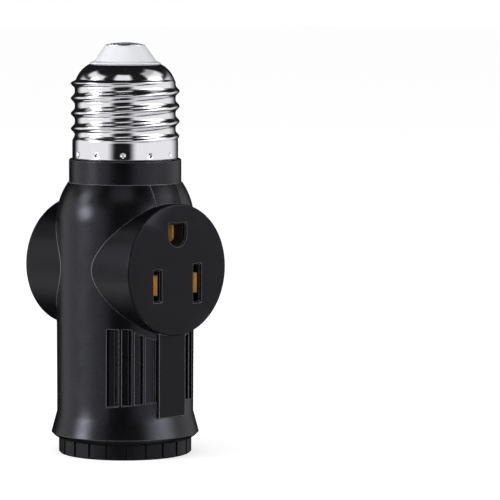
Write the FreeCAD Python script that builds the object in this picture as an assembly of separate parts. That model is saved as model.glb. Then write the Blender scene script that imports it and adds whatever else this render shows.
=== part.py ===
import FreeCAD, Part
import math
import os

# Light socket outlet adapter: a medium screw cap on top, a lamp socket below and
# two grounded outlets on opposite sides.
# All sizes are in millimetres. +Z points up to the screw cap, the front outlet
# faces -Y, and the origin is the centre of the face that the adapter stands on.

Vector = FreeCAD.Vector
ORIGIN = Vector(0, 0, 0)
UP = Vector(0, 0, 1)
BACKWARD = Vector(0, 1, 0)

# Medium screw thread, on the cap and in the lamp socket
THREAD_PITCH = 3.629
THREAD_CREST_RADIUS = 13.05
THREAD_DEPTH = 0.95
THREAD_SECTIONS_PER_TURN = 8

# Gaps between pieces: an easy fit and a close one
FIT = 0.1
SNUG = 0.05

# Base ring with its grip notches
BASE_RING_HEIGHT = 3.6
BASE_RING_INSET = 0.45
BASE_RING_WALL = 2.4
BASE_EDGE_CHAMFER = 0.35
BASE_NOTCHES = 22
BASE_NOTCH_WIDTH = 0.7
BASE_NOTCH_DEPTH = 0.4
SPIGOT_HEIGHT = 2.9

# Lamp socket: screw shell, insulating cup and contact tongue
SOCKET_THREAD_CLEARANCE = 0.3
SOCKET_LEAD_IN = 1.5
SOCKET_THREAD_TURNS = 4.0
SOCKET_HEADROOM = 6.3
SOCKET_SHEET = 0.35
SOCKET_PLAIN_INSET = 0.35
SOCKET_FLANGE_WIDTH = 4.0
CUP_GAP = 0.1
CUP_WALL = 0.7
CUP_FLOOR_THICKNESS = 1.2
TONGUE_WIDTH = 6.0
TONGUE_THICKNESS = 0.4
TONGUE_LENGTH = 10.5
TONGUE_PIVOT_INSET = 2.0
TONGUE_REST_ANGLE = 11.0
TONGUE_BUMP_RADIUS = 1.6
TONGUE_RIVET_DISTANCE = 2.2
TONGUE_RIVET_RADIUS = 0.8
TONGUE_RIVET_HEAD_RADIUS = 1.4
RIVET_HEAD_HEIGHT = 0.5

# Housing, from the flared foot to the collar
HOUSING_WALL = 1.85
BODY_TAPER = 0.15
FLARE_PROUD = 1.35
FLARE_UNDERSIDE_STEP = 1.4
FLARE_HEIGHT = 5.0
SHOULDER_ABOVE_POD_CENTRE = 10.8
SHOULDER_HEIGHT = 9.2
SHOULDER_INWARD = 2.85
SHOULDER_WALL = 2.4
COLLAR_STEP = 0.25
COLLAR_HEIGHT = 5.7
COLLAR_EDGE_CHAMFER = 0.3
NECK_WALL = 1.9

# Outlet covers: a round face, a flat strip below it and a band above it
POD_MARGIN = 4.74
POD_WALL = 1.6
FACE_PROUD = 2.05
FACE_THICKNESS = 1.2
FACE_EDGE_RADIUS = 0.4
STRIP_WIDTH = 8.3
STRIP_PROUD = 0.35
STRIP_THICKNESS = 1.3
BAND_PROUD = 0.25
BAND_THICKNESS = 1.2

# Grip panels: grooves cut straight in beside each strip
GROOVES = 4
GROOVE_PITCH = 2.32
GROOVE_DEPTH = 1.0
RIB_WIDTH = 0.5
PANEL_SIDE_INSET = 2.6
PANEL_ABOVE_FLARE = 2.7
PANEL_FOOT_RISE = 1.1
PANEL_HEIGHT = 18.6
PANEL_POD_MARGIN = 1.5

# Outlet pattern for two flat blades and a ground pin
BLADE_SPACING = 12.7
GROUND_ABOVE_BLADES = 11.9
BLADES_BELOW_CENTRE = 3.5
LIVE_SLOT_HEIGHT = 7.0
NEUTRAL_SLOT_HEIGHT = 8.6
SLOT_WIDTH = 1.9
SLOT_CHAMFER = 0.45
GROUND_HOLE_RADIUS = 2.65
GROUND_HOLE_FLAT = 2.5
GROUND_HOLE_CHAMFER = 0.35

# Screw cap shell
SHEET = 0.4
SKIRT_INSET = 0.35
SKIRT_HEIGHT = 4.0
THREAD_LENGTH = 15.1
THREAD_END_INSET = 1.3
THREAD_CREST_ABOVE_SKIRT = 10.39
THREAD_CREST_ANGLE = 138.3
DOME_MIDDLE_INWARD = 1.4
DOME_MIDDLE_RISE = 2.2
DOME_INWARD = 3.85
DOME_HEIGHT = 3.8
DIMPLES = 12
DIMPLE_ANGLE = 16.0
DIMPLE_ABOVE_COLLAR = 1.2
DIMPLE_DEPTH = 0.35
DIMPLE_RADIUS = 0.9

# Cap insulator and centre contact
INSULATOR_TAPER = 3.0
INSULATOR_HEIGHT = 4.1
INSULATOR_BRIM = 0.65
INSULATOR_BRIM_EDGE = 0.05
INSULATOR_BRIM_RISE = 0.45
INSULATOR_FLANGE_DROP = 2.2
STEM_RADIUS = 1.8
STEM_DROP = 4.3
CONTACT_EDGE = 0.2
CONTACT_RIM = 0.25
CONTACT_HEIGHT = 0.8

# Outlet contacts, the straps that link them and their rivets
BRASS = 0.5
LEAF_WIDTH = 4.8
LEAF_ENTRY_GAP = 2.0
LEAF_THROAT_GAP = 1.2
LEAF_REAR_GAP = 2.6
LEAF_FRONT_CLEARANCE = 0.15
LEAF_THROAT_DEPTH = 3.85
TAB_DEPTH = 10.15
TAB_LENGTH = 2.0
GROUND_LEAF_GAP = 4.4
GROUND_LEAF_DEPTH = 3.15
GROUND_LEAF_WIDTH = 4.0
STRAP_THICKNESS = 0.8
STRAP_WIDTH = 4.0
LIVE_PAD_RADIUS = 5.2
LINK_THICKNESS = 0.6
RIVET_RADIUS = 0.6
RIVET_HEAD_RADIUS = 1.0

# Contact blocks
BLOCK_GAP = 0.45
BLOCK_PARTING_WALL = 0.45
POCKET_WIDTH = 4.4
POCKET_CLEARANCE = 0.3

# Leads
LEAD_RADIUS = 0.8
LEAD_X = 4.3
LEAD_BEND_RADIUS = 2.5
LEAD_CLEARANCE = 0.15
LAMP_LEAD_TURN_HEIGHT = 4.4
LAMP_LEAD_INSET = 1.8
NECK_LEAD_INSET = 1.0

# Radii, from the thread outwards
THREAD_ROOT_RADIUS = THREAD_CREST_RADIUS - THREAD_DEPTH
SKIRT_RADIUS = THREAD_CREST_RADIUS - SKIRT_INSET
BOSS_RADIUS = SKIRT_RADIUS - SHEET - DIMPLE_DEPTH - SNUG
NECK_BORE_RADIUS = BOSS_RADIUS - NECK_WALL
THREAD_END_RADIUS = THREAD_CREST_RADIUS - THREAD_END_INSET
DOME_MIDDLE_RADIUS = THREAD_END_RADIUS - DOME_MIDDLE_INWARD
DOME_TOP_RADIUS = THREAD_END_RADIUS - DOME_INWARD
INSULATOR_TOP_RADIUS = DOME_TOP_RADIUS - INSULATOR_TAPER
CONTACT_RADIUS = INSULATOR_TOP_RADIUS - CONTACT_EDGE
SOCKET_CREST_RADIUS = THREAD_CREST_RADIUS + SOCKET_THREAD_CLEARANCE
SOCKET_PLAIN_RADIUS = SOCKET_CREST_RADIUS - SOCKET_PLAIN_INSET
SOCKET_FLANGE_RADIUS = SOCKET_PLAIN_RADIUS - SOCKET_FLANGE_WIDTH
TONGUE_PIVOT_X = TONGUE_PIVOT_INSET - SOCKET_FLANGE_RADIUS
CUP_INNER_RADIUS = SOCKET_CREST_RADIUS + SOCKET_SHEET + CUP_GAP
CUP_OUTER_RADIUS = CUP_INNER_RADIUS + CUP_WALL
HOUSING_BORE_RADIUS = CUP_OUTER_RADIUS + FIT
BODY_BOTTOM_RADIUS = HOUSING_BORE_RADIUS + HOUSING_WALL
BODY_TOP_RADIUS = BODY_BOTTOM_RADIUS + BODY_TAPER
FLARE_RADIUS = BODY_BOTTOM_RADIUS + FLARE_PROUD
BASE_RING_RADIUS = BODY_BOTTOM_RADIUS - BASE_RING_INSET
BASE_MOUTH_RADIUS = BASE_RING_RADIUS - BASE_RING_WALL
SHOULDER_END_RADIUS = BODY_TOP_RADIUS - SHOULDER_INWARD
COLLAR_RADIUS = SHOULDER_END_RADIUS - COLLAR_STEP
PANEL_FLOOR_RADIUS = BODY_BOTTOM_RADIUS - GROOVE_DEPTH
PANEL_OUTER_X = BODY_BOTTOM_RADIUS - PANEL_SIDE_INSET
GROUND_TOP_ABOVE_CENTRE = GROUND_ABOVE_BLADES - BLADES_BELOW_CENTRE + GROUND_HOLE_FLAT
POD_RADIUS = GROUND_TOP_ABOVE_CENTRE + POD_MARGIN
POD_INNER_RADIUS = POD_RADIUS - POD_WALL
OPENING_RADIUS = POD_INNER_RADIUS + FIT
BLOCK_RADIUS = POD_INNER_RADIUS - FIT

# Distances from the axis to the outlets' faces and contacts
FACE_DISTANCE = BODY_TOP_RADIUS + FACE_PROUD
FACE_BACK = FACE_DISTANCE - FACE_THICKNESS
STRIP_DISTANCE = BODY_BOTTOM_RADIUS + STRIP_PROUD
LEAF_FRONT = FACE_BACK - LEAF_FRONT_CLEARANCE
LEAF_THROAT_DISTANCE = FACE_BACK - LEAF_THROAT_DEPTH
TAB_DISTANCE = FACE_BACK - TAB_DEPTH
GROUND_LEAF_FRONT = FACE_BACK - GROUND_LEAF_DEPTH
BLADE_X = BLADE_SPACING / 2
LAMP_LEAD_END_X = SOCKET_PLAIN_RADIUS - LAMP_LEAD_INSET
NECK_LEAD_X = NECK_BORE_RADIUS - NECK_LEAD_INSET

# Heights, from the base upwards
FLARE_WIDEST_Z = BASE_RING_HEIGHT + FLARE_UNDERSIDE_STEP
FLARE_TOP_Z = FLARE_WIDEST_Z + FLARE_HEIGHT
SPIGOT_TOP_Z = BASE_RING_HEIGHT + SPIGOT_HEIGHT
SOCKET_THREAD_BOTTOM_Z = SPIGOT_TOP_Z + SOCKET_LEAD_IN
SOCKET_THREAD_TOP_Z = SOCKET_THREAD_BOTTOM_Z + SOCKET_THREAD_TURNS * THREAD_PITCH
CUP_FLOOR_UNDERSIDE_Z = SOCKET_THREAD_TOP_Z + SOCKET_HEADROOM
CUP_TOP_Z = CUP_FLOOR_UNDERSIDE_Z + CUP_FLOOR_THICKNESS
LIVE_STRAP_TOP_Z = CUP_TOP_Z + STRAP_THICKNESS
POD_CENTRE_Z = LIVE_STRAP_TOP_Z + BLOCK_GAP + BLOCK_RADIUS
NEUTRAL_STRAP_Z = POD_CENTRE_Z + BLOCK_RADIUS + FIT
NEUTRAL_STRAP_TOP_Z = NEUTRAL_STRAP_Z + STRAP_THICKNESS
PANEL_OUTER_BOTTOM_Z = FLARE_TOP_Z + PANEL_ABOVE_FLARE
PANEL_INNER_BOTTOM_Z = PANEL_OUTER_BOTTOM_Z + PANEL_FOOT_RISE
PANEL_TOP_Z = PANEL_OUTER_BOTTOM_Z + PANEL_HEIGHT
BLADE_Z = POD_CENTRE_Z - BLADES_BELOW_CENTRE
GROUND_Z = BLADE_Z + GROUND_ABOVE_BLADES
GROUND_BRIDGE_Z = GROUND_Z + GROUND_HOLE_FLAT + POCKET_CLEARANCE
GROUND_LINK_Z = GROUND_BRIDGE_Z + BRASS
LAMP_LEAD_TURN_Z = CUP_TOP_Z + LAMP_LEAD_TURN_HEIGHT
SHOULDER_START_Z = POD_CENTRE_Z + SHOULDER_ABOVE_POD_CENTRE
SHOULDER_END_Z = SHOULDER_START_Z + SHOULDER_HEIGHT
COLLAR_TOP_Z = SHOULDER_END_Z + COLLAR_HEIGHT
SKIRT_TOP_Z = COLLAR_TOP_Z + SKIRT_HEIGHT
DIMPLE_Z = COLLAR_TOP_Z + DIMPLE_ABOVE_COLLAR
THREAD_CREST_Z = SKIRT_TOP_Z + THREAD_CREST_ABOVE_SKIRT
THREAD_END_Z = SKIRT_TOP_Z + THREAD_LENGTH
DOME_MIDDLE_Z = THREAD_END_Z + DOME_MIDDLE_RISE
DOME_TOP_Z = THREAD_END_Z + DOME_HEIGHT
STEM_BOTTOM_Z = DOME_TOP_Z - STEM_DROP
INSULATOR_FLANGE_Z = DOME_TOP_Z - INSULATOR_FLANGE_DROP
INSULATOR_TOP_Z = DOME_TOP_Z + INSULATOR_HEIGHT
TOTAL_HEIGHT = INSULATOR_TOP_Z + CONTACT_HEIGHT


def cylinder(radius, bottom, top):
    """A round solid on the adapter's axis."""
    return Part.makeCylinder(radius, top - bottom, Vector(0, 0, bottom))


def pod_cylinder(radius, front, back):
    """A round solid on the outlets' axis, from one y to another."""
    return Part.makeCylinder(radius, back - front, Vector(0, front, POD_CENTRE_Z), BACKWARD)


def box(x0, x1, y0, y1, z0, z1):
    return Part.makeBox(x1 - x0, y1 - y0, z1 - z0, Vector(x0, y0, z0))


def disc(radius, x, y, bottom, top):
    return Part.makeCylinder(radius, top - bottom, Vector(x, y, bottom))


def fused(shapes):
    """One clean solid from pieces that meet or overlap."""
    return shapes[0].multiFuse(shapes[1:]).removeSplitter()


def single(shape):
    """The solid inside a compound that holds just one."""
    return shape.Solids[0] if len(shape.Solids) == 1 else shape


def opposite(shape):
    """The same piece for the rear outlet."""
    turned = shape.copy()
    turned.rotate(ORIGIN, UP, 180)
    return turned


def revolved(edges):
    """A solid turned from a half outline in the XZ plane."""
    return Part.Face(Part.Wire(edges)).revolve(ORIGIN, UP, 360)


def half_point(radius, z):
    return Vector(radius, 0, z)


def line(start, end):
    return Part.LineSegment(start, end).toShape()


def arc(start, middle, end):
    return Part.Arc(start, middle, end).toShape()


def outline(points):
    """Straight edges through the points, closed."""
    return [line(a, b) for a, b in zip(points, points[1:] + points[:1])]


def shoulder_arc(offset):
    """The shoulder curve, tangent to the body, moved outwards by an offset."""
    inward = BODY_TOP_RADIUS - SHOULDER_END_RADIUS
    rise = SHOULDER_END_Z - SHOULDER_START_Z
    radius = (rise ** 2 + inward ** 2) / (2 * inward)
    centre = half_point(BODY_TOP_RADIUS - radius, SHOULDER_START_Z)
    sweep = math.asin(rise / radius)
    reach = radius + offset

    def on_arc(angle):
        return centre + half_point(reach * math.cos(angle), reach * math.sin(angle))

    return on_arc(0), on_arc(sweep / 2), on_arc(sweep)


def housing_outline_solid():
    """The housing's outer form, filled."""
    start, middle, end = shoulder_arc(0)
    edge = COLLAR_EDGE_CHAMFER
    foot = half_point(BASE_RING_RADIUS, BASE_RING_HEIGHT)
    underside = FLARE_UNDERSIDE_STEP / 2
    foot_corner = half_point(FLARE_RADIUS - underside, BASE_RING_HEIGHT + underside)
    widest = half_point(FLARE_RADIUS, FLARE_WIDEST_Z)
    below = [
        half_point(0, BASE_RING_HEIGHT),
        foot,
        foot_corner,
        widest,
        half_point(BODY_BOTTOM_RADIUS, FLARE_TOP_Z),
        start,
    ]
    above = [
        end,
        half_point(COLLAR_RADIUS, SHOULDER_END_Z),
        half_point(COLLAR_RADIUS, COLLAR_TOP_Z - edge),
        half_point(COLLAR_RADIUS - edge, COLLAR_TOP_Z),
        half_point(0, COLLAR_TOP_Z),
        half_point(0, BASE_RING_HEIGHT),
    ]
    edges = [line(a, b) for a, b in zip(below, below[1:])]
    edges.append(arc(start, middle, end))
    edges += [line(a, b) for a, b in zip(above, above[1:])]
    return revolved(edges)


def housing_cavity():
    """Bore for the lamp socket and blocks, narrowing into the neck."""
    cone_end = SHOULDER_END_Z + SHOULDER_WALL / 2
    points = [
        half_point(0, BASE_RING_HEIGHT),
        half_point(HOUSING_BORE_RADIUS, BASE_RING_HEIGHT),
        half_point(HOUSING_BORE_RADIUS, SHOULDER_START_Z),
        half_point(BODY_TOP_RADIUS - SHOULDER_WALL, SHOULDER_START_Z),
        half_point(NECK_BORE_RADIUS, cone_end),
        half_point(NECK_BORE_RADIUS, SKIRT_TOP_Z),
        half_point(0, SKIRT_TOP_Z),
    ]
    return revolved(outline(points))


def dimple_sphere(index, radius):
    """A ball for one punch mark near the foot of the screw shell."""
    angle = math.radians(DIMPLE_ANGLE) + 2 * math.pi * index / DIMPLES
    distance = SKIRT_RADIUS + DIMPLE_RADIUS - DIMPLE_DEPTH
    centre = Vector(distance * math.cos(angle), distance * math.sin(angle), DIMPLE_Z)
    return Part.makeSphere(radius, centre)


def dimple_spheres(radius):
    return [dimple_sphere(index, radius) for index in range(DIMPLES)]


def strip_slab(side, front, back, top):
    """The flat strip that runs from the flare up to the round face."""
    half = STRIP_WIDTH / 2 + side
    return box(-half, half, -front, -back, FLARE_TOP_Z - side, top)


def band_slab(side, outer, inner):
    """The band that runs over the shoulder, between two offset shoulder curves."""
    start, middle, end = shoulder_arc(outer)
    low_start, low_middle, low_end = shoulder_arc(-inner)
    edges = [
        arc(start, middle, end),
        line(end, low_end),
        arc(low_end, low_middle, low_start),
        line(low_start, start),
    ]
    half = STRIP_WIDTH / 2 + side
    window = box(-half, half, -2 * FACE_DISTANCE, 0, SHOULDER_START_Z, SHOULDER_END_Z + side)
    return revolved(edges).common(window)


def panel_window():
    """The area beside the strips in which the grip grooves are cut."""
    reach = 2 * FACE_DISTANCE
    inner_x = STRIP_WIDTH / 2
    points = [
        Vector(-PANEL_OUTER_X, -reach, PANEL_OUTER_BOTTOM_Z),
        Vector(-inner_x, -reach, PANEL_INNER_BOTTOM_Z),
        Vector(-inner_x, -reach, PANEL_TOP_Z),
        Vector(-PANEL_OUTER_X, -reach, PANEL_TOP_Z),
    ]
    left = Part.Face(Part.Wire(outline(points))).extrude(Vector(0, reach, 0))
    right = left.mirror(ORIGIN, Vector(1, 0, 0))
    around_pod = pod_cylinder(POD_RADIUS + PANEL_POD_MARGIN, -reach, 0)
    return left.fuse(right).cut(around_pod)


def groove_slots():
    """One slot for each groove, with the ribs left between them."""
    slots = []
    for index in range(GROOVES):
        left = -PANEL_OUTER_X + index * GROOVE_PITCH
        right = left + GROOVE_PITCH - RIB_WIDTH
        if index == GROOVES - 1:
            right = -STRIP_WIDTH / 2
        slot = box(left, right, -FACE_DISTANCE, 0, 0, PANEL_TOP_Z)
        slots.append(slot)
        slots.append(slot.mirror(ORIGIN, Vector(1, 0, 0)))
    return Part.makeCompound(slots)


def grip_grooves():
    """The grooves beside the front strip, down to a round floor."""
    grooves = panel_window().common(groove_slots())
    return grooves.cut(cylinder(PANEL_FLOOR_RADIUS, 0, SHOULDER_START_Z))


def make_housing():
    shell = housing_outline_solid()
    boss = cylinder(BOSS_RADIUS, COLLAR_TOP_Z - COLLAR_EDGE_CHAMFER, SKIRT_TOP_Z)
    shell = shell.fuse(boss).cut(housing_cavity())
    shell = shell.cut(pod_cylinder(OPENING_RADIUS, -FACE_DISTANCE, FACE_DISTANCE))
    strip_back = STRIP_DISTANCE - STRIP_THICKNESS - SNUG
    strip_channel = strip_slab(SNUG, FACE_DISTANCE, strip_back, POD_CENTRE_Z)
    band_channel = band_slab(SNUG, POD_RADIUS, BAND_THICKNESS - BAND_PROUD + SNUG)
    grooves = grip_grooves()
    for cutter in (strip_channel, band_channel, grooves):
        shell = shell.cut(cutter).cut(opposite(cutter))
    return single(shell)


def slot_wire(width, height, x, z, y):
    """A rectangle in an outlet's face plane."""
    left = x - width / 2
    right = x + width / 2
    low = z - height / 2
    high = z + height / 2
    corners = [(left, low), (right, low), (right, high), (left, high)]
    return Part.Wire(outline([Vector(across, y, up) for across, up in corners]))


def ground_wire(grow, y):
    """The ground hole: flat on top, round at the bottom."""
    radius = GROUND_HOLE_RADIUS + grow
    top = GROUND_Z + GROUND_HOLE_FLAT + grow
    left = Vector(-radius, y, GROUND_Z)
    right = Vector(radius, y, GROUND_Z)
    top_right = Vector(radius, y, top)
    top_left = Vector(-radius, y, top)
    return Part.Wire([
        arc(left, Vector(0, y, GROUND_Z - radius), right),
        line(right, top_right),
        line(top_right, top_left),
        line(top_left, left),
    ])


def chamfered_hole(wire_at, chamfer):
    """A straight hole through the face with a chamfer at its mouth."""
    straight = Part.Face(wire_at(0, -FACE_DISTANCE)).extrude(Vector(0, 2 * FACE_THICKNESS, 0))
    mouth = [wire_at(chamfer, -FACE_DISTANCE), wire_at(0, -FACE_DISTANCE + chamfer)]
    return straight.fuse(Part.makeLoft(mouth, True, True))


def face_holes():
    def live(grow, y):
        return slot_wire(SLOT_WIDTH + 2 * grow, LIVE_SLOT_HEIGHT + 2 * grow, -BLADE_X, BLADE_Z, y)

    def neutral(grow, y):
        return slot_wire(SLOT_WIDTH + 2 * grow, NEUTRAL_SLOT_HEIGHT + 2 * grow, BLADE_X, BLADE_Z, y)

    return [
        chamfered_hole(live, SLOT_CHAMFER),
        chamfered_hole(neutral, SLOT_CHAMFER),
        chamfered_hole(ground_wire, GROUND_HOLE_CHAMFER),
    ]


def make_outlet_cover():
    """The front cover: round cup, strip and band in one moulding."""
    cup = pod_cylinder(POD_RADIUS, -FACE_DISTANCE, 0)
    rim = [edge for edge in cup.Edges if abs(edge.BoundBox.YMax + FACE_DISTANCE) < SNUG]
    cup = cup.makeFillet(FACE_EDGE_RADIUS, rim).cut(housing_outline_solid())
    strip = strip_slab(0, STRIP_DISTANCE, STRIP_DISTANCE - STRIP_THICKNESS, POD_CENTRE_Z)
    band = band_slab(0, BAND_PROUD, BAND_THICKNESS - BAND_PROUD)
    cover = fused([cup, strip, band])
    cover = cover.cut(pod_cylinder(POD_INNER_RADIUS, -FACE_BACK, 0))
    for hole in face_holes():
        cover = cover.cut(hole)
    return single(cover)


def make_base_ring():
    """Grip ring under the flare, with a spigot up into the housing."""
    edge = BASE_EDGE_CHAMFER
    spigot_radius = HOUSING_BORE_RADIUS - SNUG
    points = [
        half_point(BASE_MOUTH_RADIUS + edge, 0),
        half_point(BASE_RING_RADIUS - edge, 0),
        half_point(BASE_RING_RADIUS, edge),
        half_point(BASE_RING_RADIUS, BASE_RING_HEIGHT),
        half_point(spigot_radius, BASE_RING_HEIGHT),
        half_point(spigot_radius, SPIGOT_TOP_Z),
        half_point(BASE_MOUTH_RADIUS, SPIGOT_TOP_Z),
        half_point(BASE_MOUTH_RADIUS, edge),
    ]
    ring = revolved(outline(points))
    half = BASE_NOTCH_WIDTH / 2
    inner = BASE_RING_RADIUS - BASE_NOTCH_DEPTH
    notch = box(inner, 2 * BASE_RING_RADIUS, -half, half, 0, BASE_RING_HEIGHT)
    notches = []
    for index in range(BASE_NOTCHES):
        copy = notch.copy()
        copy.rotate(ORIGIN, UP, 360 * index / BASE_NOTCHES)
        notches.append(copy)
    return single(ring.cut(Part.makeCompound(notches)))


def ease(value):
    """Smooth step from 0 to 1."""
    value = min(max(value, 0), 1)
    return value * value * (3 - 2 * value)


def threaded_solid(bottom, top, end_radii, middle_radius):
    """A rounded one-start right-hand thread.

    Each level section is a circle whose centre circles the axis once per pitch,
    which gives a thread with a wave-shaped profile. At both ends the offset runs
    out and the radius meets the plain part beside it.
    """
    run_out = THREAD_PITCH / 2
    sections = []
    steps = max(2, round((top - bottom) / THREAD_PITCH * THREAD_SECTIONS_PER_TURN))
    for step in range(steps + 1):
        z = bottom + (top - bottom) * step / steps
        from_bottom = ease((z - bottom) / run_out)
        from_top = ease((top - z) / run_out)
        turn = (z - THREAD_CREST_Z) / THREAD_PITCH
        angle = math.radians(THREAD_CREST_ANGLE) + 2 * math.pi * turn
        offset = THREAD_DEPTH / 2 * from_bottom * from_top
        radius = middle_radius + (end_radii[0] - middle_radius) * (1 - from_bottom)
        radius += (end_radii[1] - middle_radius) * (1 - from_top)
        centre = Vector(offset * math.cos(angle), offset * math.sin(angle), z)
        sections.append(Part.Wire(Part.makeCircle(radius, centre, UP)))
    return Part.makeLoft(sections, True, True)


def dome_form(inset):
    """The rounded shoulder above the thread, filled."""
    start = half_point(THREAD_END_RADIUS - inset, THREAD_END_Z)
    middle = half_point(DOME_MIDDLE_RADIUS - inset, DOME_MIDDLE_Z - inset / 2)
    end = half_point(DOME_TOP_RADIUS - inset / 2, DOME_TOP_Z - inset)
    top = half_point(0, DOME_TOP_Z - inset)
    bottom = half_point(0, THREAD_END_Z)
    return revolved([arc(start, middle, end), line(end, top), line(top, bottom), line(bottom, start)])


def screw_form(inset):
    """The screw shell's outside, or its inside when inset by the sheet."""
    middle = (THREAD_CREST_RADIUS + THREAD_ROOT_RADIUS) / 2 - inset
    ends = (SKIRT_RADIUS - inset, THREAD_END_RADIUS - inset)
    thread = threaded_solid(SKIRT_TOP_Z, THREAD_END_Z, ends, middle)
    skirt = cylinder(SKIRT_RADIUS - inset, COLLAR_TOP_Z, SKIRT_TOP_Z)
    return [skirt, thread, dome_form(inset)]


def make_screw_shell():
    """Rolled metal shell with a true helical thread and punch marks."""
    outside = fused(screw_form(0))
    for mark in dimple_spheres(DIMPLE_RADIUS):
        outside = outside.cut(mark)
    inside = fused(screw_form(SHEET))
    for bump in dimple_spheres(DIMPLE_RADIUS + SHEET):
        inside = inside.cut(bump)
    shell = outside.cut(inside)
    return single(shell.cut(cylinder(DOME_TOP_RADIUS - SHEET, THREAD_END_Z, TOTAL_HEIGHT)))


def make_cap_insulator():
    """Pale cone on the cap, with a brim over the dome's rim and a flange under it."""
    neck_radius = DOME_TOP_RADIUS - SHEET - SNUG
    brim_radius = DOME_TOP_RADIUS + INSULATOR_BRIM
    brim_top_z = DOME_TOP_Z + INSULATOR_BRIM_RISE
    cone = revolved(outline([
        half_point(0, INSULATOR_TOP_Z),
        half_point(INSULATOR_TOP_RADIUS, INSULATOR_TOP_Z),
        half_point(neck_radius, brim_top_z),
        half_point(neck_radius, INSULATOR_FLANGE_Z),
        half_point(0, INSULATOR_FLANGE_Z),
    ]))
    brim = revolved(outline([
        half_point(0, brim_top_z),
        half_point(neck_radius, brim_top_z),
        half_point(brim_radius, DOME_TOP_Z + INSULATOR_BRIM_EDGE),
        half_point(brim_radius, THREAD_END_Z),
        half_point(0, THREAD_END_Z),
    ])).cut(dome_form(-SNUG))
    above_foot = cylinder(THREAD_CREST_RADIUS, INSULATOR_FLANGE_Z, TOTAL_HEIGHT)
    flange = dome_form(SHEET + SNUG).common(above_foot)
    insulator = fused([cone, flange, brim])
    return single(insulator.cut(cylinder(STEM_RADIUS + SNUG, THREAD_END_Z, TOTAL_HEIGHT)))


def make_centre_contact():
    """Shallow domed rivet on the tip of the cap."""
    rim_top = INSULATOR_TOP_Z + CONTACT_RIM
    rise = TOTAL_HEIGHT - rim_top
    ball_radius = (CONTACT_RADIUS ** 2 + rise ** 2) / (2 * rise)
    ball = Part.makeSphere(ball_radius, Vector(0, 0, TOTAL_HEIGHT - ball_radius))
    head = cylinder(CONTACT_RADIUS, INSULATOR_TOP_Z, TOTAL_HEIGHT).common(ball)
    return fused([head, cylinder(STEM_RADIUS, STEM_BOTTOM_Z, INSULATOR_TOP_Z)])


def socket_form(outset):
    """The lamp socket shell's inside, or its outside when set out by the sheet."""
    middle = (THREAD_CREST_RADIUS + THREAD_ROOT_RADIUS) / 2 + SOCKET_THREAD_CLEARANCE + outset
    plain = SOCKET_PLAIN_RADIUS + outset
    ends = (plain, plain)
    thread = threaded_solid(SOCKET_THREAD_BOTTOM_Z, SOCKET_THREAD_TOP_Z, ends, middle)
    entry = cylinder(plain, SPIGOT_TOP_Z, SOCKET_THREAD_BOTTOM_Z)
    top = cylinder(plain, SOCKET_THREAD_TOP_Z, CUP_FLOOR_UNDERSIDE_Z - SOCKET_SHEET + outset)
    return [entry, thread, top]


def make_socket_shell():
    """Threaded metal shell that takes the lamp, with a flange at its top."""
    outside = fused(socket_form(SOCKET_SHEET))
    inside = fused(socket_form(0))
    opening = cylinder(SOCKET_FLANGE_RADIUS, SPIGOT_TOP_Z, CUP_FLOOR_UNDERSIDE_Z)
    return single(outside.cut(inside).cut(opening))


def cup_holes():
    """Holes in the cup's floor for the tongue's rivet and the lamp's neutral lead."""
    low = CUP_FLOOR_UNDERSIDE_Z
    rivet_x = TONGUE_PIVOT_X + TONGUE_RIVET_DISTANCE
    rivet_hole = disc(TONGUE_RIVET_RADIUS + SNUG, rivet_x, 0, low, CUP_TOP_Z)
    lead_hole = disc(LEAD_RADIUS + LEAD_CLEARANCE, -LAMP_LEAD_END_X, 0, low, CUP_TOP_Z)
    return [rivet_hole, lead_hole]


def make_socket_insulator():
    """Insulating cup around the lamp socket, with a floor above it."""
    cup = cylinder(CUP_OUTER_RADIUS, SPIGOT_TOP_Z, CUP_TOP_Z)
    cup = cup.cut(cylinder(CUP_INNER_RADIUS, SPIGOT_TOP_Z, CUP_FLOOR_UNDERSIDE_Z))
    for hole in cup_holes():
        cup = cup.cut(hole)
    return single(cup)


def make_lamp_contact():
    """Springy tongue that meets the lamp's centre contact, relaxed."""
    half = TONGUE_WIDTH / 2
    top = CUP_FLOOR_UNDERSIDE_Z - SNUG
    bottom = top - TONGUE_THICKNESS
    end_x = TONGUE_PIVOT_X + TONGUE_LENGTH
    leaf = box(TONGUE_PIVOT_X, end_x - half, -half, half, bottom, top)
    leaf = leaf.fuse(disc(half, end_x - half, 0, bottom, top))
    bump = Part.makeSphere(TONGUE_BUMP_RADIUS, Vector(end_x - half, 0, top))
    bump = bump.common(cylinder(HOUSING_BORE_RADIUS, 0, bottom))
    leaf = fused([leaf, bump])
    rivet_x = TONGUE_PIVOT_X + TONGUE_RIVET_DISTANCE
    hole_radius = TONGUE_RIVET_RADIUS + POCKET_CLEARANCE
    leaf = leaf.cut(disc(hole_radius, rivet_x, 0, bottom, top))
    leaf.rotate(Vector(TONGUE_PIVOT_X, 0, top), BACKWARD, TONGUE_REST_ANGLE)
    return single(leaf)


def make_lamp_contact_rivet():
    """Shouldered rivet from the live strap down through the tongue's root."""
    rivet_x = TONGUE_PIVOT_X + TONGUE_RIVET_DISTANCE
    head_reach = TONGUE_RIVET_DISTANCE + TONGUE_RIVET_HEAD_RADIUS
    drop = head_reach * math.tan(math.radians(TONGUE_REST_ANGLE))
    under_tongue = CUP_FLOOR_UNDERSIDE_Z - SNUG - drop - TONGUE_THICKNESS - FIT
    upper = LIVE_STRAP_TOP_Z + RIVET_HEAD_HEIGHT
    return fused([
        disc(TONGUE_RIVET_RADIUS, rivet_x, 0, under_tongue, upper),
        disc(TONGUE_RIVET_HEAD_RADIUS, rivet_x, 0, under_tongue - RIVET_HEAD_HEIGHT, under_tongue),
        disc(TONGUE_RIVET_HEAD_RADIUS, rivet_x, 0, LIVE_STRAP_TOP_Z, upper),
    ])


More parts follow.
